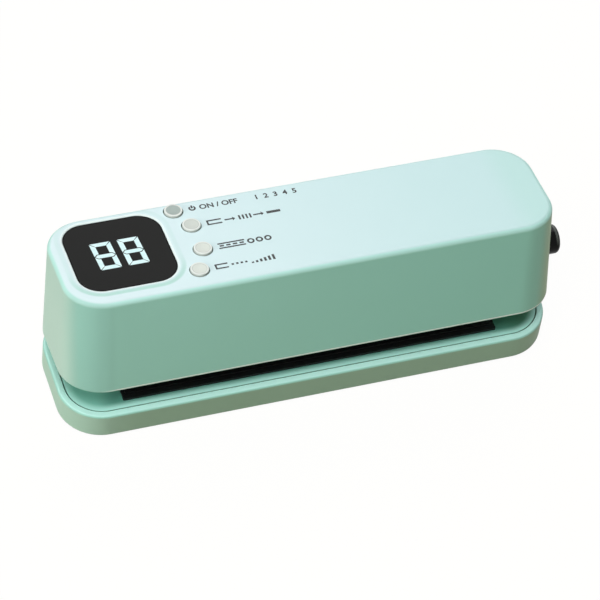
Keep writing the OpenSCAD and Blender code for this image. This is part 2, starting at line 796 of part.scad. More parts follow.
// ---- Keys ----
module key(i) {
    r = key_diameter / 2;
    face = top_z + key_proud;
    rim = 0.8;
    edge = 0.3;
    flange_top = roof_z - fit_gap;
    flange_low = flange_top - key_flange;
    tip_z = key_board_z + switch_height - stem_in_switch;
    dish_r = ((r - rim) * (r - rim) + key_dish * key_dish) / (2 * key_dish);
    color(pearl) ajar() translate([key_x(i), key_y(i), 0]) rotate_extrude() difference() {
        union() {
            translate([0, flange_low]) square([r, face - edge - flange_low]);
            translate([0, face - edge - eps]) square([r - edge, edge + eps]);
            translate([r - edge, face - edge]) circle(edge, $fn = 24);
            translate([0, flange_low]) square([key_flange_radius, key_flange]);
            translate([0, tip_z]) square([stem_tip_radius, flange_low - tip_z + eps]);
        }
        translate([0, face - key_dish + dish_r]) circle(dish_r, $fn = 128);
        translate([-r, tip_z - 1]) square([r, face]);
    }
}
module power_key() { key(0); }
module vacuum_key() { key(1); }
module seal_key() { key(2); }
module pulse_key() { key(3); }

module key_board() {
    color(board_green) ajar()
        box([key_x(0) - 6.5, key_x(1) + 7.5], [key_y(3) - 5.5, key_y(0) + 3.8],
            [key_board_z - board_thickness, key_board_z]);
}

module key_switches() {
    color(steel) ajar() for (i = [0:3]) difference() {
        box([key_x(i) - switch_half, key_x(i) + switch_half],
            [key_y(i) - switch_half, key_y(i) + switch_half],
            [key_board_z, key_board_z + switch_height]);
        post(key_x(i), key_y(i), stem_tip_radius + moving_gap,
            key_board_z + switch_height - stem_in_switch - key_travel - moving_gap,
            key_board_z + switch_height + 1);
    }
}

// ---- Electronics ----
tray_wall = 1.8;
tray_length = cell_length + 2 * tray_wall;
inner_gap = 3.6;
pump_x = half_length - 41.5;
motor_x = pump_x - motor_length;
tray_x = motor_x - inner_gap - tray_length / 2;
board_x = [-corner_screw_x + boss_radius + 1, tray_x - tray_length / 2 - inner_gap];
board_y = [-half_depth + 11.7, half_depth - 6.2];
port_x = board_x[0] + 40;
pillar_inset = 6;
pillar_radius = 2.5;
pillar_places = [
    for (x = [board_x[0] + pillar_inset, board_x[1] - pillar_inset],
        y = [board_y[0] + pillar_inset, board_y[1] - pillar_inset - 5]) [x, y]
];

module main_board() {
    color(board_green) ajar()
        box(board_x, board_y, [main_board_z, main_board_z + board_thickness]);
}

// Parts on the board: distance from its right or left end, y, length, depth and height
right_parts = [[34, -12, 12, 12, 1.4], [18, -4, 12, 12, 6], [18, 14, 10, 6, 5]];
left_parts = [[15, -18, 3, 5, 2], [21, -18, 3, 5, 2]];
capacitors = [[8, -12], [8, -2]];
capacitor_radius = 4;
capacitor_height = 12;
module board_part(x, part) {
    z = main_board_z + board_thickness;
    box([x, x + part[2]], [part[1], part[1] + part[3]], [z, z + part[4]]);
}
module board_parts() {
    z = main_board_z + board_thickness;
    color("#30343a") ajar() {
        for (part = right_parts) board_part(board_x[1] - part[0], part);
        for (part = left_parts) board_part(board_x[0] + part[0], part);
        for (c = capacitors) post(board_x[0] + c.x, c.y, capacitor_radius, z, z + capacitor_height);
    }
}

module charge_port() {
    color(steel) ajar() difference() {
        translate([port_x, board_y[1] - 2.5, port_z]) rotate([-90, 0, 0]) linear_extrude(7.2)
            rounded_rect(port_width, port_height, port_height / 2 - 0.01);
        difference() {
            translate([port_x, board_y[1] - 1.5, port_z]) rotate([-90, 0, 0]) linear_extrude(9)
                rounded_rect(port_width - 0.7, port_height - 0.7, port_height / 2 - 0.36);
            box([port_x - 3.3, port_x + 3.3], [board_y[1] - 2, board_y[1] + 3.6],
                [port_z - 0.35, port_z + 0.35]);
        }
    }
}

cell_gap = 0.6;
tray_floor = 1.4;
tray_fit = 0.1;
cell_button_radius = 3;
cell_button_height = 0.8;
cell_z = plate_z + tray_floor + cell_diameter / 2;
cell_y = (cell_diameter + cell_gap) / 2;
module battery_tray() {
    color(jet) ajar() translate([tray_x, 0, 0]) difference() {
        rounded_plate(tray_length, 2 * cell_diameter + cell_gap + 2 * tray_wall, 2, plate_z,
            cell_z - 0.6);
        for (s = [-1, 1])
            rod_x(-cell_length / 2 - tray_fit, cell_length / 2 + tray_fit, s * cell_y, cell_z,
                cell_diameter / 2 + tray_fit);
    }
}

// Can with a crimp near its button end
module cell() {
    r = cell_diameter / 2;
    can = cell_length - cell_button_height;
    rotate_extrude() polygon([
        [0, 0], [r, 0], [r, can - 4], [r - 0.5, can - 3.4], [r - 0.5, can - 2.8], [r, can - 2.2],
        [r, can], [cell_button_radius, can], [cell_button_radius, cell_length], [0, cell_length]
    ]);
}
module battery_cells() {
    color("#2f6fb0") ajar() for (s = [-1, 1])
        translate([tray_x - s * cell_length / 2, s * cell_y, cell_z]) rotate([0, s * 90, 0]) cell();
}

// ---- Pump and air path ----
motor_y = half_depth - wall - head_taper - 0.8 - pump_side / 2;
motor_z = plate_z + 3 + pump_side / 2;
pump_length = 14;
pump_top = motor_z + pump_side / 2;
barb_height = 4.4;
duct_radius = 0.8;
barb_inset = [4, 3.5];
barb_x = [pump_x + barb_inset[0], pump_x + pump_length - barb_inset[1]];
shaft_radius = 1;
shaft_reach = 6;
eccentric_radius = 4.5;
eccentric_throw = 1.5;
pump_bore_radius = eccentric_radius + 2 * eccentric_throw;
pump_bore_depth = 8;
module pump_motor() {
    color(steel) ajar() difference() {
        union() {
            rod_x(motor_x, pump_x, motor_y, motor_z, motor_diameter / 2);
            rod_x(motor_x - 1.4, motor_x, motor_y, motor_z, 4);
        }
        rod_x(motor_x + 1, pump_x + 1, motor_y, motor_z, shaft_radius + pin_running);
    }
}

module pump_rotor() {
    color("#d8dade") ajar() {
        rod_x(motor_x + 2, pump_x + shaft_reach, motor_y, motor_z, shaft_radius);
        rod_x(pump_x + 1.5, pump_x + shaft_reach, motor_y + eccentric_throw, motor_z,
            eccentric_radius);
    }
}

module pump_body() {
    color(jet) ajar() difference() {
        union() {
            box([pump_x, pump_x + pump_length],
                [motor_y - pump_side / 2, motor_y + pump_side / 2],
                [motor_z - pump_side / 2, pump_top]);
            for (x = barb_x) post(x, motor_y, hose_bore / 2, motor_z, pump_top + barb_height);
        }
        rod_x(pump_x - 1, pump_x + pump_bore_depth, motor_y, motor_z, pump_bore_radius);
        for (x = barb_x) post(x, motor_y, duct_radius, pump_top, pump_top + barb_height + 1);
    }
}

module pump_saddle() {
    color(mint_inside) ajar() difference() {
        union() {
            box([motor_x + 3, pump_x - 3], [motor_y - 9, motor_y + 9], [plate_z, motor_z - 5]);
            box([pump_x, pump_x + pump_length], [motor_y - 9, motor_y + 9],
                [plate_z, motor_z - pump_side / 2]);
        }
        rod_x(motor_x - 1, pump_x + 1, motor_y, motor_z, motor_diameter / 2);
    }
}

nozzle_top = plate_z + 6;
module air_nozzles() {
    color(jet) ajar() for (x = nozzle_x) difference() {
        union() {
            post(x, nozzle_y, nozzle_hole_radius, plate_low_z + recess_depth, plate_z);
            post(x, nozzle_y, nozzle_hole_radius + 1.2, plate_z, hose_low_z);
            post(x, nozzle_y, hose_bore / 2, plate_z + 1, nozzle_top);
        }
        post(x, nozzle_y, duct_radius, plate_low_z, nozzle_top + 1);
    }
}

// Quarter bend of hose: from straight up at the origin to along +X, round a centre at [bend, 0]
module hose_bend(bend) {
    translate([bend, 0, 0]) rotate([90, 0, 0]) rotate_extrude(angle = 90, start = 90)
        translate([bend, 0]) hose_section();
}
module hose_straight(length) {
    linear_extrude(length) hose_section();
}
module hose_section() {
    difference() {
        circle(hose_diameter / 2, $fn = 32);
        circle(hose_bore / 2 + barb_fit, $fn = 32);
    }
}

// Hose up from one point, over, and down to another
module hose(from, to, z_from, z_to, bend) {
    d = to - from;
    span = round(1000 * norm(d)) / 1000;
    over_z = z_to + barb_height + bend;
    color("#e6e3da") ajar() translate([from.x, from.y, 0]) rotate(atan2(d.y, d.x)) {
        translate([0, 0, z_from]) hose_straight(over_z - bend - z_from);
        translate([0, 0, over_z - bend]) hose_bend(bend);
        translate([bend, 0, over_z]) rotate([0, 90, 0]) hose_straight(span - 2 * bend);
        translate([span, 0, over_z - bend]) mirror([1, 0, 0]) hose_bend(bend);
        translate([span, 0, z_to + 0.1]) hose_straight(barb_height - 0.1);
    }
}
module pump_hose() {
    hose([nozzle_x[0], nozzle_y], [barb_x[0], motor_y], hose_low_z, pump_top, 8);
}

// ---- Pressure release ----
stem_radius = 2.5;
valve_radius = 6;
flange_thickness = 1.6;
flange_gap = 0.7;
button_flange_radius = button_diameter / 2 + 1.4;
flange_x = button_x - wall - flange_gap - flange_thickness;
valve_front = flange_x - button_travel - moving_gap;
valve_length = 16.2;
valve_back = valve_front - valve_length;
valve_bore_back = valve_back + 2;
valve_barb_x = valve_back + 4;
spring_seat = valve_front - 6;
spring_wire = 0.7;
module vent_hose() {
    hose([nozzle_x[1], nozzle_y], [valve_barb_x, button_y], hose_low_z, button_z + valve_radius, 6);
}

module vent_valve() {
    barb_top = button_z + valve_radius + barb_height;
    color(pearl) ajar() difference() {
        union() {
            rod_x(valve_back, valve_front, button_y, button_z, valve_radius);
            post(valve_barb_x, button_y, hose_bore / 2, button_z, barb_top);
            box([valve_back + 1, valve_back + 7], [button_y - 3, button_y + 3],
                [plate_z, button_z]);
        }
        rod_x(valve_bore_back, valve_front + 1, button_y, button_z, stem_radius + pin_running);
        rod_x(spring_seat, valve_front + 1, button_y, button_z, stem_radius + 2);
        post(valve_barb_x, button_y, duct_radius, button_z, barb_top + 1);
    }
}

module release_spring() {
    color(steel) ajar() translate([spring_seat, button_y, button_z]) rotate([0, 90, 0])
        coil(stem_radius + 1, spring_wire, 6, flange_x - spring_seat);
}

module release_button() {
    face_x = button_x + button_proud;
    edge_x = face_x - button_round;
    stem_x = valve_bore_back + button_travel + 0.5;
    r = button_diameter / 2;
    color(jet) ajar() translate([0, button_y, button_z]) rotate([0, 90, 0]) rotate_extrude() {
        translate([0, stem_x]) square([stem_radius, flange_x - stem_x + eps]);
        translate([0, flange_x]) square([button_flange_radius, flange_thickness]);
        translate([0, flange_x]) square([r, edge_x - flange_x]);
        translate([0, edge_x - eps]) square([r - button_round, button_round + eps]);
        intersection() {
            translate([r - button_round, edge_x]) circle(button_round, $fn = 48);
            translate([0, edge_x - eps]) square([r, button_round + eps]);
        }
    }
}

base_shell();
base_deck();
rubber_feet();
base_screws();
seal_pad();
lower_gasket();
hinge_mounts();
hinge_pins();
lid_springs();
head_shell();
head_floor();
hinge_arms();
head_screws();
heater_bar();
heating_strip();
slip_tape();
upper_gasket();
display_lens();
display_digits();
display_module();
display_board();
power_key();
vacuum_key();
seal_key();
pulse_key();
key_board();
key_switches();
main_board();
board_parts();
charge_port();
battery_tray();
battery_cells();
pump_motor();
pump_body();
pump_rotor();
pump_saddle();
air_nozzles();
pump_hose();
vent_hose();
vent_valve();
release_spring();
release_button();
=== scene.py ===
import math

import bmesh
import bpy
from mathutils import Matrix, Vector


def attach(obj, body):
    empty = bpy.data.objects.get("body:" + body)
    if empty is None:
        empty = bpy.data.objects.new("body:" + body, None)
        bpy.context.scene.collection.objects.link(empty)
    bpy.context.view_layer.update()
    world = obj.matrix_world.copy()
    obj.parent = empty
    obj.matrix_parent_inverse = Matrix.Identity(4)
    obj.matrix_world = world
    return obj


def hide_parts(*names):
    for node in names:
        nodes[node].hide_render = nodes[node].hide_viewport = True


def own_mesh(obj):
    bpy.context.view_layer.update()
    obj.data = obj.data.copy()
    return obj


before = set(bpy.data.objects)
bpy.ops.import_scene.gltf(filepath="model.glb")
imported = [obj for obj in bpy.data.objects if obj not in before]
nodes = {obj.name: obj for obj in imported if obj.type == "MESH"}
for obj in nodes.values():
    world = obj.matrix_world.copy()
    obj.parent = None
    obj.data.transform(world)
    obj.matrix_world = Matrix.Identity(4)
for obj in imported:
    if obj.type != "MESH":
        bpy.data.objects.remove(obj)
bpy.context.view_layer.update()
scene = bpy.context.scene
scene.view_settings.view_transform = "Standard"

# ---- Camera ----
# Looks down on the sealer from its front left with a long lens, rolled a little so that the
# sealer climbs to the right. All lengths in this file are metres.
turn, tilt, roll = math.radians(-24.082), math.radians(49.587), math.radians(8.267)
distance, shift_across, shift_upward = 1.467513, 0.002852, 0.020362
aim = Vector((0, 0, 0.001))
back = Vector((math.sin(turn) * math.cos(tilt), -math.cos(turn) * math.cos(tilt), math.sin(tilt)))
level = Vector((math.cos(turn), math.sin(turn), 0))
upright = back.cross(level)
across = math.cos(roll) * level + math.sin(roll) * upright
upward = math.cos(roll) * upright - math.sin(roll) * level
camera = bpy.data.objects.new("camera", bpy.data.cameras.new("camera"))
camera.data.lens = 188.76
camera.matrix_world = Matrix.Translation(
    distance * back + shift_across * across + shift_upward * upward + aim
) @ Matrix((across, upward, back)).transposed().to_4x4()
scene.collection.objects.link(camera)
scene.camera = camera


# ---- Room and lamps ----
# A white floor that keeps a faint shadow, a bright overhead softbox, a second one behind that
# glances off the level faces, and a weaker one at the left end.
class Wire:
    """A shader socket that takes part in Python expressions by adding Math nodes."""

    def __init__(self, finish, socket):
        self.finish, self.socket = finish, socket

    def reckon(self, operation, *values):
        return self.finish.node("Math", {"operation": operation}, dict(enumerate(values)))

    def __add__(self, other):
        return self.reckon("ADD", self, other)

    def __sub__(self, other):
        return self.reckon("SUBTRACT", self, other)

    def __mul__(self, other):
        return self.reckon("MULTIPLY", self, other)

    def __pow__(self, other):
        return self.reckon("POWER", self, other)

    def __abs__(self):
        return self.reckon("ABSOLUTE", self)

    def at_least(self, low):
        return self.reckon("MAXIMUM", self, low)

    def sine(self):
        return self.reckon("SINE", self)

    __radd__ = __add__
    __rmul__ = __mul__


class Finish:
    """The node tree of one finish, and the few ways in which nodes are added to it."""

    def __init__(self, tree):
        self.tree = tree

    def node(self, kind, settings=None, sockets=None, out=0):
        """Adds a node, sets what it is set to, fills its sockets and returns one output."""
        made = self.tree.nodes.new("ShaderNode" + kind)
        for key, value in (settings or {}).items():
            setattr(made, key, value)
        for key, value in (sockets or {}).items():
            self.fill(made.inputs[key], value)
        return Wire(self, made.outputs[out])

    def fill(self, socket, value):
        """Links a wire to a socket, or sets the socket to a fixed value."""
        if isinstance(value, Wire):
            self.tree.links.new(value.socket, socket)
        elif isinstance(value, tuple) and len(value) == 3 and socket.type == "RGBA":
            socket.default_value = (*value, 1)
        else:
            socket.default_value = value

    def place(self):
        """Where a point lies on the piece, in metres; it stays on the piece as that moves."""
        return self.node("TexCoord", out="Object")

    def noise(self, scale, detail=2.0, roughness=0.5):
        """Cloudy pattern between 0 and 1, with scale clouds to the metre."""
        return self.node("TexNoise", None, {
            "Vector": self.place(), "Scale": scale, "Detail": detail, "Roughness": roughness})

    def streaks(self, along, across, detail):
        """Noise drawn out along X, with its own scale along X and across it."""
        stretched = self.node("Mapping", None, {
            "Vector": self.place(), "Scale": (along, across, across)})
        return self.node("TexNoise", None, {"Vector": stretched, "Scale": 1, "Detail": detail})

    def blend(self, amount, first, second):
        """Colour between two colours."""
        return self.node("Mix", {"data_type": "RGBA"}, {0: amount, 6: first, 7: second}, out=2)

    def parts(self, vector):
        """The x, y and z of a vector."""
        made = self.tree.nodes.new("ShaderNodeSeparateXYZ")
        self.fill(made.inputs[0], vector)
        return [Wire(self, output) for output in made.outputs]

    def within(self, value, low, high):
        """0 at low, 1 at high, and smooth between them; low may be the greater of the two."""
        return self.node("MapRange", {"interpolation_type": "SMOOTHSTEP"}, {
            "Value": value, "From Min": low, "From Max": high})


def plain(hex_colour):
    """Linear colour of a #rrggbb one."""
    parts = [int(hex_colour[i:i + 2], 16) / 255 for i in (1, 3, 5)]
    return tuple(c / 12.92 if c <= 0.04045 else ((c + 0.055) / 1.055) ** 2.4 for c in parts)


world = bpy.data.worlds.new("room")
scene.world = world
world.use_nodes = True
room = Finish(world.node_tree)
world.node_tree.nodes.clear()


def seen(finish):
    """1 for what the camera sees, straight or in metal and glass, and 0 for other light."""
    path = finish.tree.nodes.new("ShaderNodeLightPath")
    sight = [Wire(finish, path.outputs[name])
             for name in ("Is Camera Ray", "Is Glossy Ray", "Is Transmission Ray")]
    return finish.node("Math", {"operation": "ADD", "use_clamp": True},
                       {0: sight[0], 1: sight[1] + sight[2]})


dim = room.node("Background", None, {"Color": plain("#eef4f2"), "Strength": 0.05})
white = room.node("Background", None, {"Color": (1, 1, 1), "Strength": 1})
sky = room.node("MixShader", None, {0: seen(room), 1: dim, 2: white})
room.fill(world.node_tree.nodes.new("ShaderNodeOutputWorld").inputs["Surface"], sky)

reach = 4
floor_mesh = bpy.data.meshes.new("floor")
floor_mesh.from_pydata(
    [(-reach, -reach, 0), (reach, -reach, 0), (reach, reach, 0), (-reach, reach, 0)],
    [], [(0, 1, 2, 3)])
floor = bpy.data.objects.new("floor", floor_mesh)
scene.collection.objects.link(floor)
floor_paint = bpy.data.materials.new("floor_paint")
floor_paint.use_nodes = True
floor_paint.node_tree.nodes.clear()
paper = Finish(floor_paint.node_tree)
matt = paper.node("BsdfDiffuse", None, {"Color": (0.50, 0.46, 0.30)})
glow = paper.node("Emission", None, {"Color": (1, 1, 1), "Strength": 1.05})
glow_share = 0.92
paper_out = floor_paint.node_tree.nodes.new("ShaderNodeOutputMaterial")
paper.fill(paper_out.inputs["Surface"],
           paper.node("MixShader", None, {0: glow_share * seen(paper), 1: matt, 2: glow}))
floor_mesh.materials.append(floor_paint)

lamp_aim = Vector((0, 0, 0.03))
for name, spot, size, watts, colour in (
        ("overhead", (-0.30, -0.45, 1.45), 0.7, 12.2, (1, 1, 1)),
        ("behind", (0.40, 1.10, 1.20), 1.4, 15.5, (0.99, 0.97, 1.02)),
        ("left_end", (-1.3, -0.25, 0.60), 0.6, 9.1, (1.02, 0.99, 0.99))):
    lamp = bpy.data.objects.new(name, bpy.data.lights.new(name, "AREA"))
    lamp.data.size, lamp.data.energy, lamp.data.color = size, watts, colour
    lamp.location = spot
    lamp.rotation_euler = (lamp_aim - Vector(spot)).to_track_quat("-Z", "Y").to_euler()
    scene.collection.objects.link(lamp)


# ---- Casings: base shell and head shell ----
# Two mint ABS mouldings with a fine satin grain. The base is a shallow tray with a rounded rim;
# the head is a deep cover whose walls lean in, and whose thin lower edge has a painted highlight.
# Their colour also carries painted sheen, painted highlights and painted shade, set out in the
# tones below.
def new_finish(name, **fixed):
    """A material with its own finish and shader; fixed values are set on the shader."""
    material = bpy.data.materials.new(name)
    material.use_nodes = True
    finish = Finish(material.node_tree)
    finish.material = material
    finish.shader = material.node_tree.nodes["Principled BSDF"]
    for key, value in fixed.items():
        finish.fill(finish.shader.inputs[key.replace("_", " ")], value)
    return finish


def grain(finish, height, strength, depth):
    """Surface relief: depth metres high where height is 1."""
    bump = finish.node("Bump", None, {"Height": height, "Strength": strength, "Distance": depth})
    finish.fill(finish.shader.inputs["Normal"], bump)


def even_shading(piece, crease=math.radians(33), spots_per_metre=2e6):
    """Shades faces that meet at less than the crease angle as one smooth surface, also where
    the mesh has a corner of its own for each face."""
    mesh = piece.data
    spots = [tuple(round(c * spots_per_metre) for c in v.co) for v in mesh.vertices]
    meeting = {}
    for face in mesh.polygons:
        for corner in face.vertices:
            meeting.setdefault(spots[corner], []).append(face.index)
    normals = [face.normal.copy() for face in mesh.polygons]
    weights = [face.normal * face.area for face in mesh.polygons]
    limit = math.cos(crease)
    shading = []
    for face in mesh.polygons:
        own = normals[face.index]
        for corner in face.vertices:
            total = Vector()
            for other in meeting[spots[corner]]:
                if normals[other].dot(own) > limit:
                    total += weights[other]
            shading.append(total.normalized() if total.length else own)
    mesh.polygons.foreach_set("use_smooth", [True] * len(mesh.polygons))
    mesh.normals_split_custom_set(shading)


def dress(finish, *names):
    """Gives CAD nodes their finish and even shading."""
    for name in names:
        nodes[name].data.materials.clear()
        nodes[name].data.materials.append(finish.material)
        even_shading(nodes[name])


pin_y, pin_z = 0.026, 0.013
ajar = math.radians(8.3)
ajar_to_shut = (Matrix.Translation((0, pin_y, pin_z)) @ Matrix.Rotation(ajar, 4, "X")
                @ Matrix.Translation((0, -pin_y, -pin_z)))


def shut_place(finish):
    """x, y and z of a point of the head as it lies when the head is shut and level."""
    x, y, z = finish.parts(finish.place())
    y, z = y - pin_y, z - pin_z
    return (x, y * math.cos(ajar) - z * math.sin(ajar) + pin_y,
            y * math.sin(ajar) + z * math.cos(ajar) + pin_z)


def shut_box(name):
    """Lowest and highest corner of a piece of the head when the head is shut and level."""
    spots = [ajar_to_shut @ v.co for v in nodes[name].data.vertices]
    return (Vector([min(spot[i] for spot in spots) for i in range(3)]),
            Vector([max(spot[i] for spot in spots) for i in range(3)]))


def far_from(x, y, centre):
    """Distance in x and y from a centre."""
    dx, dy = x - centre.x, y - centre.y
    return (dx * dx + dy * dy) ** 0.5


def outside(x, y, half_x, half_y, radius):
    """How far a point lies outside a rounded rectangle round the origin; below 0 inside it."""
    dx, dy = abs(x) - (half_x - radius), abs(y) - (half_y - radius)
    dx, dy = dx.at_least(0.0), dy.at_least(0.0)
    return (dx * dx + dy * dy) ** 0.5 - radius


head_low, head_high = shut_box("head_shell")
window_low, window_high = shut_box("display_lens")
window = (window_low + window_high) / 2
window_corner = 0.011


def outside_window(x, y):
    """How far a point of the head's top lies outside the display window; below 0 on it."""
    return outside(x - window.x, y - window.y, window_high.x - window.x,
                   window_high.y - window.y, window_corner)


key_centres = {}
for key in ("power_key", "vacuum_key", "seal_key", "pulse_key"):
    low, high = shut_box(key)
    key_centres[key] = (low + high) / 2
key_radius = 0.0042  # of the cap; the flange inside the casing is wider


def mint_plastic(name, tones):
    """Moulded ABS: a slow drift of tone, a fine spark-eroded grain, and the piece's own tones,
    which on the casings and the deck are painted light and shade.
    """
    finish = new_finish(name, IOR=1.46)
    drift = finish.noise(scale=14, detail=3)
    tone = finish.blend(finish.within(drift, 0.3, 0.7), plain("#a2dccd"), plain("#a4dfd1"))
    finish.fill(finish.shader.inputs["Base Color"], tones(finish, tone))
    finish.fill(finish.shader.inputs["Roughness"], 0.46 + 0.08 * finish.noise(scale=60))
    grain(finish, finish.noise(scale=2400, roughness=0.6), strength=0.35, depth=0.00004)
    return finish


def top_tones(finish, x, y, rightward):
    """Painted sheen: pale, a little deeper towards the right end, with painted shade in the dish
    round the window and a painted highlight on the bevel at its edge."""
    right_end = finish.within(x, 0.090, 0.106)
    beyond = outside_window(x, y)
    front_side = finish.within(y - window.y, -0.006, -0.024)
    dish = finish.within(beyond, 0.0009, 0.0026) * finish.within(beyond, 0.0044, 0.0032)
    bevel = finish.within(beyond, 0.0012, 0.0009)
    # Painted sheen on the level top, deeper to the right; painted shade in the dish; painted
    # highlight on the bevel.
    tone = finish.blend(rightward, plain("#d3e8e9"), plain("#c0e0de"))
    tone = finish.blend(right_end, tone, plain("#b8ded8"))
    tone = finish.blend(dish * (0.25 + 0.75 * front_side), tone, plain("#acd6cb"))
    return finish.blend(bevel, tone, plain("#e2f2ee"))


def head_tones(finish, tone):
    """Painted light and shade: walls deeper towards the right end and round the left front corner,
    paler at the left end, a painted highlight on the rounded edge below the top and along the lower
    edge, the top's painted sheen, and painted shade in the gaps round the keys."""
    x, y, height = shut_place(finish)
    top, foot = head_high.z, head_low.z
    rightward = finish.within(x, -0.115, 0.115)
    left_end, right_end = finish.within(x, -0.1105, -0.1168), finish.within(x, 0.105, 0.1130)
    corner = finish.within(x, -0.094, -0.104) * finish.within(x, -0.1168, -0.1120)
    round_edge = finish.within(height, top - 0.0028, top - 0.0012)
    level_top = finish.within(height, top - 0.0006, top - 0.00003)
    window_seat = finish.within(outside_window(x, y), 0.0026, 0.0024)
    lower_edge = (finish.within(abs(height - (foot + 0.0010)), 0.0004, 0.0002)
                  * finish.within(x, -0.104, -0.094))

    # Painted shade on the walls: deeper to the right, paler at the left end, olive at the right
    # end.
    tone = finish.blend(0.7 * rightward, tone, plain("#93d2c1"))
    tone = finish.blend(left_end, tone, plain("#bcdfd2"))
    tone = finish.blend(right_end, tone, plain("#9fc09b"))
    # Painted highlight on the rounded edge below the top; painted shade round the left front
    # corner.
    tone = finish.blend(round_edge, tone, plain("#bceee3"))
    tone = finish.blend(0.16 * corner, tone, plain("#000000"))
    pale = top_tones(finish, x, y, rightward)
    # Painted sheen on the level top and in the window's seat.
    tone = finish.blend(level_top, tone, pale)
    tone = finish.blend(window_seat, tone, pale)
    # Painted highlight along the head's lower edge.
    tone = finish.blend(lower_edge, tone, plain("#f4fffb"))
    # Painted shade in the gaps round the keys.
    for centre in key_centres.values():
        gap = finish.within(far_from(x, y, centre), key_radius + 0.0006, key_radius + 0.0003)
        tone = finish.blend(gap, tone, plain("#38574d"))
    return tone


def base_tones(finish, tone):
    """Painted light and shade: a painted highlight on the rounded rim, walls warmer and deeper
    towards the foot, paler at the left end.
    """
    x, _, height = finish.parts(finish.place())
    left_end = finish.within(x, -0.080, -0.113)
    below_rim = finish.within(height, 0.0143, 0.0133)
    rim = finish.within(height, 0.0143, 0.0148)
    # Painted shade on the walls below the rim, paler at the left end; painted highlight on the rim.
    wall = finish.blend(left_end, plain("#9bbea6"), plain("#b0d6c4"))
    tone = finish.blend(below_rim, tone, wall)
    return finish.blend(rim, tone, plain("#ccfff4"))


dress(mint_plastic("head_mint", head_tones), "head_shell")
dress(mint_plastic("base_mint", base_tones), "base_shell")


# ---- Deck, head floor, hinge arms and pump saddle ----
# Inner mouldings of the same ABS, a shade deeper. The deck has painted light and shade: palest
# along the groove round its edge, where light reaches in under the head, and deeper inwards.
def deck_tones(finish, tone):
    """Painted shade, deeper inwards, most at the right end and least at the left one; a painted
    pool of light along the groove, and painted shade in it.
    """
    x, y, _ = finish.parts(finish.place())
    beyond = outside(x, y, half_x=0.1138, half_y=0.0280, radius=0.0166)
    right_end, left_end = finish.within(x, 0.085, 0.105), finish.within(x, -0.093, -0.103)
    near_groove = finish.within(beyond, -0.0043, -0.0005)
    groove = finish.within(beyond, -0.00025, -0.00005)
    # Painted shade under the head, painted light along the groove, painted shade in the groove.
    inner = finish.blend(right_end, plain("#70b3a3"), plain("#5a9880"))
    inner = finish.blend(left_end, inner, plain("#94dccb"))
    tone = finish.blend(near_groove, inner, plain("#c4fff3"))
    return finish.blend(groove, tone, plain("#78b09e"))


def inner_tones(finish, tone):
    """The casings' mint, a shade deeper."""
    return finish.blend(0.04, tone, plain("#000000"))


dress(mint_plastic("deck_mint", deck_tones), "base_deck")
dress(mint_plastic("inner_mint", inner_tones), "head_floor", "hinge_arms", "pump_saddle")


# ---- Sealing pad ----
# A black silicone strip in a shallow seat of the deck, with a raised bead along its middle that
# the heating strip presses the bag against. Matt, with lint-like specks.
def black_rubber(name, colour, worn, roughness, speck_scale, depth):
    """Matt black with paler specks, which also stand out by depth metres."""
    finish = new_finish(name, IOR=1.42)
    specks = finish.noise(speck_scale, detail=4, roughness=0.65)
    finish.fill(finish.shader.inputs["Base Color"],
                finish.blend(finish.within(specks, 0.45, 0.75), colour, worn))
    finish.fill(finish.shader.inputs["Roughness"], roughness + 0.12 * finish.noise(scale=300))
    grain(finish, specks, strength=0.5, depth=depth)
    return finish


silicone = black_rubber("silicone", plain("#0b0d0f"), plain("#15181a"),
                        roughness=0.42, speck_scale=900, depth=0.00003)
dress(silicone, "seal_pad")


# ---- Gaskets and feet ----
# Closed-cell foam rings round the vacuum chamber, and moulded rubber feet under the base. The
# foam is the rougher of the two.
foam = black_rubber("foam", plain("#16181a"), plain("#24282b"),
                    roughness=0.75, speck_scale=1600, depth=0.0001)
foot_rubber = black_rubber("foot_rubber", plain("#191b1d"), plain("#25282a"),
                           roughness=0.6, speck_scale=700, depth=0.00003)
dress(foam, "lower_gasket", "upper_gasket")
dress(foot_rubber, "rubber_feet")


# ---- Black nylon pieces ----
# Hinge mounts, heater bar, nozzles, pump body and battery tray: glass-filled nylon with a faint
# flow pattern.
nylon = new_finish("nylon", IOR=1.5)
flow = nylon.noise(scale=220, detail=3)
nylon.fill(nylon.shader.inputs["Base Color"],
           nylon.blend(nylon.within(flow, 0.35, 0.7), plain("#121416"), plain("#1d2023")))
nylon.fill(nylon.shader.inputs["Roughness"], 0.42 + 0.14 * flow)
grain(nylon, nylon.noise(scale=1800, detail=3), strength=0.3, depth=0.00003)
dress(nylon, "hinge_mounts", "heater_bar", "air_nozzles", "pump_body", "battery_tray")


# ---- Steel pieces ----
# Pins, screws, springs, cans of motor and switches, the socket shell and the heating strip, all
# drawn or rolled, so the shine is streaked along X.
steel = new_finish("steel", Metallic=1.0)
drawn = steel.streaks(along=120, across=2600, detail=3)
steel.fill(steel.shader.inputs["Base Color"],
           steel.blend(drawn, plain("#b9bdc2"), plain("#d4d7da")))
steel.fill(steel.shader.inputs["Roughness"], 0.22 + 0.16 * drawn)
grain(steel, drawn, strength=0.2, depth=0.00001)
dress(steel, "base_screws", "hinge_pins", "lid_springs", "head_screws", "heating_strip",
      "key_switches", "charge_port", "pump_motor", "pump_rotor")


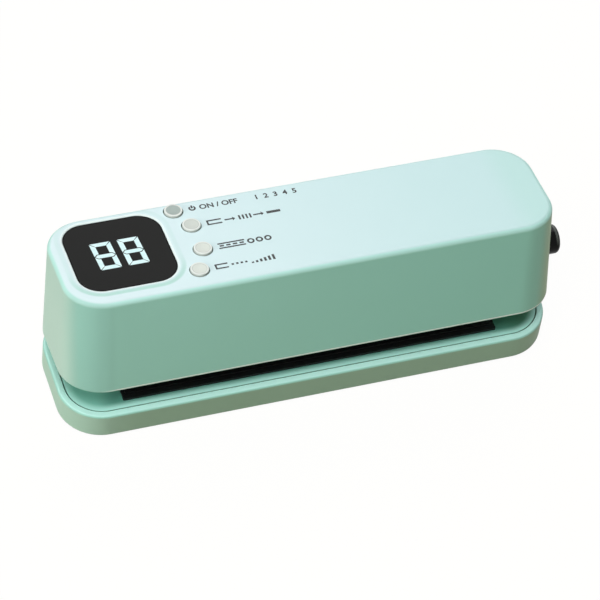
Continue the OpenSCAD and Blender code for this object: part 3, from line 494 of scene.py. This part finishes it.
# ---- Slip tape ----
# Glass cloth coated with PTFE, stuck over the heating strip so that a bag lets go of it. The
# plain weave of the cloth shows as a grid.
tape = new_finish("slip_tape", Roughness=0.5)
thread_pitch = 0.0008
warp, weft = (part * (2 * math.pi / thread_pitch) for part in tape.parts(tape.place())[:2])
weave = warp.sine() * weft.sine()
tape.fill(tape.shader.inputs["Base Color"],
          tape.blend(tape.within(weave, -0.8, 0.8), plain("#80664a"), plain("#9c8262")))
grain(tape, weave, strength=0.4, depth=0.00004)
dress(tape, "slip_tape")


# ---- Display ----
# A smoked acrylic window with a darker printed border, over a white light box. The fourteen
# strokes of its two digits shine through.
smoked = new_finish("smoked_window", IOR=1.49, Specular_IOR_Level=0.03)
place_x, place_y, _ = shut_place(smoked)
border = smoked.within(outside_window(place_x, place_y), -0.0008, -0.0004)
smoked.fill(smoked.shader.inputs["Base Color"],
            smoked.blend(border, plain("#1c1d1b"), plain("#0c0d0c")))
smoked.fill(smoked.shader.inputs["Roughness"], 0.07 + 0.03 * smoked.noise(scale=90))
dress(smoked, "display_lens")

lit = new_finish("lit_stroke", Roughness=0.4, Emission_Strength=0.5)
lit.fill(lit.shader.inputs["Base Color"], plain("#8fa6a6"))
pool = lit.within(lit.noise(scale=400), 0.3, 0.7)
lit.fill(lit.shader.inputs["Emission Color"],
         lit.blend(pool, plain("#c9eeee"), plain("#e2fbfb")))
dress(lit, "display_digits")


# ---- Keys ----
# Four round pearl-white caps with a dished face inside a raised ring. The power key's dish is
# grey. They share one board below.
def key_finish(name, centre, dish_colour):
    """Grey-white cap, with its dish in a colour of its own and painted shade where the ring meets
    it.
    """
    finish = new_finish(name, IOR=1.48)
    x, y, _ = shut_place(finish)
    far = far_from(x, y, centre)
    ring_face = finish.within(far, 0.0031, 0.0034)
    # Painted shade where the ring meets the dish.
    groove = finish.within(abs(far - 0.00325), 0.00028, 0.0001)
    tone = finish.blend(ring_face, dish_colour, plain("#d9dfd7"))
    finish.fill(finish.shader.inputs["Base Color"],
                finish.blend(0.35 * groove, tone, plain("#7d8a84")))
    finish.fill(finish.shader.inputs["Roughness"], 0.32 + 0.1 * finish.noise(scale=250))
    grain(finish, finish.noise(scale=1500), strength=0.25, depth=0.00003)
    return finish


for key, dish in (("power_key", "#93a39b"), ("vacuum_key", "#c0c8be"),
                  ("seal_key", "#cbd3c8"), ("pulse_key", "#ccd4c9")):
    dress(key_finish(key + "_pearl", key_centres[key], plain(dish)), key)


# ---- Light box and valve ----
# Two white mouldings inside the head: the box that spreads the light behind the digits, and the
# body of the pressure release valve.
pearl = new_finish("pearl", IOR=1.48)
pearl.fill(pearl.shader.inputs["Base Color"],
           pearl.blend(pearl.noise(scale=80), plain("#d9ddd6"), plain("#e6e9e3")))
pearl.fill(pearl.shader.inputs["Roughness"], 0.4 + 0.1 * pearl.noise(scale=250))
dress(pearl, "display_module", "vent_valve")


# ---- Printed legends ----
# Pad-printed marks beside the keys, in dark ink: ON / OFF with its steps, and plain pictures for
# drawing air out, sealing and drawing in short bursts. Drawn in millimetres from their row's start.
ink = new_finish("legend_ink", Roughness=0.55)
ink.fill(ink.shader.inputs["Base Color"],
         ink.blend(ink.noise(scale=900), plain("#0d1311"), plain("#151d1a")))
line = 0.85
text_low, text_size = -1.5, 4.3
ring_radius = 1.7


def bar(x, y, width, height):
    """Outline of a rectangle, from its lower left corner."""
    return [[(x, y), (x + width, y), (x + width, y + height), (x, y + height)]]


def bars(count, pitch, x, y, width, height):
    """The same rectangle count times to the right."""
    return [spots for i in range(count) for spots in bar(x + i * pitch, y, width, height)]


def ring(x, start=0, end=360, steps=24):
    """Part of a ring of the line's thickness, its centre on the row."""
    turns = [math.radians(start + (end - start) * i / steps) for i in range(steps + 1)]
    return [[(x + far * math.cos(a), far * math.sin(a))
             for a, far in ((first, ring_radius), (second, ring_radius),
                            (second, ring_radius - line), (first, ring_radius - line))]
            for first, second in zip(turns, turns[1:])]


def arrow(x, length, head=1.3):
    """Arrow along the row to the right; its head is as long as half its height."""
    return bar(x, -line / 2, length - head, line) + [
        [(x + length - head, -head), (x + length, 0), (x + length - head, head)]]


def bag(width, height=3.4):
    """Bag that starts the row and is open at its right end."""
    return (bar(0, -height / 2, width, line) + bar(0, height / 2 - line, width, line)
            + bar(0, -height / 2, line, height))


def word(text, x):
    """Flat mesh of a word in the built-in font, a little bolder than that."""
    curve = bpy.data.curves.new(text, "FONT")
    curve.body, curve.size, curve.fill_mode = text, text_size, "FRONT"
    curve.offset = 0.03 * text_size
    made = bpy.data.objects.new(text, curve)
    scene.collection.objects.link(made)
    flat = bpy.data.meshes.new_from_object(made.evaluated_get(
        bpy.context.evaluated_depsgraph_get()))
    bpy.data.objects.remove(made)
    flat.transform(Matrix.Translation((x, text_low, 0)))
    return flat


def legend(key, outlines, words=()):
    """Lays outlines and words on the head's top beside a key, as one printed piece."""
    sheet = bmesh.new()
    for spots in outlines:
        sheet.faces.new([sheet.verts.new((x, y, 0)) for x, y in spots])
    for flat in words:
        sheet.from_mesh(flat)
    for face in sheet.faces:
        face.normal_update()
        if face.normal.z < 0:
            face.normal_flip()
    bmesh.ops.triangulate(sheet, faces=sheet.faces)
    mesh = bpy.data.meshes.new("legend_" + key)
    sheet.to_mesh(mesh)
    sheet.free()
    ink_height, row_start, millimetre = 0.00003, 0.0072, 0.001
    centre = key_centres[key]
    mesh.transform(ajar_to_shut.inverted()
                   @ Matrix.Translation((centre.x + row_start, centre.y,
                                         head_high.z + ink_height))
                   @ Matrix.Scale(millimetre, 4))
    mesh.materials.append(ink.material)
    piece = bpy.data.objects.new("legend_" + key, mesh)
    scene.collection.objects.link(piece)
    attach(piece, "head")


legend("power_key",
       ring(ring_radius, -235, 55) + bar(ring_radius - line / 2, 0, line, 2),
       [word("ON / OFF", 5), word("1  2  3  4  5", 31)])
legend("vacuum_key",
       bag(7) + arrow(8.4, 5) + bars(4, 1.7, 15, -1.5, line, 3) + arrow(21.9, 5)
       + bar(28.2, -0.8, 6.5, 1.6))
legend("seal_key",
       bar(0, 1.1, 12.5, line) + bar(0, -1.95, 12.5, line) + bars(4, 3.1, 0.6, -0.5, 2, 1)
       + [spots for i in range(3) for spots in ring(15.2 + 4 * i)])
legend("pulse_key",
       bag(6) + bars(4, 2.1, 7.6, -0.55, 1.1, 1.1)
       + [spots for i in range(6) for spots in bar(16.6 + 2 * i, -1.7, 1.1, 0.9 + 0.5 * i)])


# ---- Release button ----
# A polished black button at the right end, sprung on its stem; pressing it lets air back in. The
# upper side of its rim has a painted highlight, a paler band.
gloss = new_finish("button_gloss", Specular_IOR_Level=0.1, IOR=1.5)
wear = gloss.noise(scale=120, detail=3)
black = gloss.blend(gloss.within(wear, 0.4, 0.75), plain("#030404"), plain("#070808"))
low, high = shut_box("release_button")
rim_x, middle_z = high.x - 0.0017, (low.z + high.z) / 2
place_x, _, place_z = shut_place(gloss)
# Painted highlight on the upper side of the rim.
painted_highlight = (gloss.within(abs(place_x - rim_x), 0.0008, 0.0003)
          * gloss.within(place_z - middle_z, 0.0005, 0.0045))
gloss.fill(gloss.shader.inputs["Base Color"], gloss.blend(painted_highlight, black, plain("#5d625f")))
gloss.fill(gloss.shader.inputs["Roughness"], 0.12 + 0.05 * wear)
dress(gloss, "release_button")


# ---- Release spring ----
# Round spring wire, wound with its end turns closed. It pushes the button out from the valve's
# seat, and shortens by the button's travel when that is pressed.
low, high = shut_box("release_spring")
seat, length, middle = low.x, high.x - low.x, (low + high) / 2
wire_radius, end_turn, turns = 0.00035, 0.00075, 7
steps_per_turn, sides = 32, 12
coil_radius = (high.y - low.y) / 2 - wire_radius
pitch = (length - 2 * wire_radius - 2 * end_turn) / (turns - 2)
coil = bmesh.new()
loops = []
for step in range(turns * steps_per_turn + 1):
    turned = step / steps_per_turn
    along = end_turn * min(turned, 1) + pitch * min(max(turned - 1, 0), turns - 2)
    along += end_turn * max(turned - turns + 1, 0)
    a = 2 * math.pi * turned
    loops.append([coil.verts.new((
        seat + wire_radius * (1 + math.sin(b)) + along,
        middle.y + math.cos(a) * (coil_radius + wire_radius * math.cos(b)),
        middle.z + math.sin(a) * (coil_radius + wire_radius * math.cos(b))))
        for b in (2 * math.pi * side / sides for side in range(sides))])
for first, second in zip(loops, loops[1:]):
    for side in range(sides):
        after = (side + 1) % sides
        coil.faces.new((first[side], first[after], second[after], second[side]))
coil.faces.new(loops[0])
coil.faces.new(loops[-1])
bmesh.ops.recalc_face_normals(coil, faces=coil.faces)
spring_mesh = bpy.data.meshes.new("release_spring_coil")
coil.to_mesh(spring_mesh)
coil.free()
spring_mesh.transform(ajar_to_shut.inverted())
spring_mesh.materials.append(steel.material)
spring = bpy.data.objects.new("release_spring_coil", spring_mesh)
scene.collection.objects.link(spring)
even_shading(spring)
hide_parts("release_spring")
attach(spring, "head")
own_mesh(spring)


# ---- Boards and what is on them ----
# Green-masked glass-epoxy boards with a faint pattern of tracks, and black components.
board = new_finish("board_green", IOR=1.5, Roughness=0.35)
no_track, track = (0, 0, 0), (1, 1, 1)
tracks = board.node("TexBrick", None, {
    "Vector": board.place(), "Scale": 400, "Mortar Size": 0.03,
    "Color1": no_track, "Color2": no_track, "Mortar": track})
board.fill(board.shader.inputs["Base Color"],
           board.blend(tracks, plain("#14573a"), plain("#2a7d56")))
dress(board, "display_board", "key_board", "main_board")
chips = new_finish("chip_black")
chips.fill(chips.shader.inputs["Base Color"],
           chips.blend(chips.noise(scale=700), plain("#17191b"), plain("#26292c")))
chips.fill(chips.shader.inputs["Roughness"], 0.5 + 0.2 * chips.noise(scale=900))
dress(chips, "board_parts")


# ---- Cells and hoses ----
# Film-wrapped cells, whose wrap has faint lengthwise creases, and soft silicone tube.
wrap = new_finish("cell_wrap", IOR=1.5)
creases = wrap.streaks(along=40, across=900, detail=2)
wrap.fill(wrap.shader.inputs["Base Color"],
          wrap.blend(creases, plain("#2c6fae"), plain("#3f83c2")))
wrap.fill(wrap.shader.inputs["Roughness"], 0.25 + 0.2 * creases)
dress(wrap, "battery_cells")
tube = new_finish("silicone_tube", IOR=1.41)
tube.fill(tube.shader.inputs["Base Color"],
          tube.blend(tube.noise(scale=200), plain("#dcd9cf"), plain("#ebe9e2")))
tube.fill(tube.shader.inputs["Roughness"], 0.4 + 0.15 * tube.noise(scale=500))
dress(tube, "pump_hose", "vent_hose")
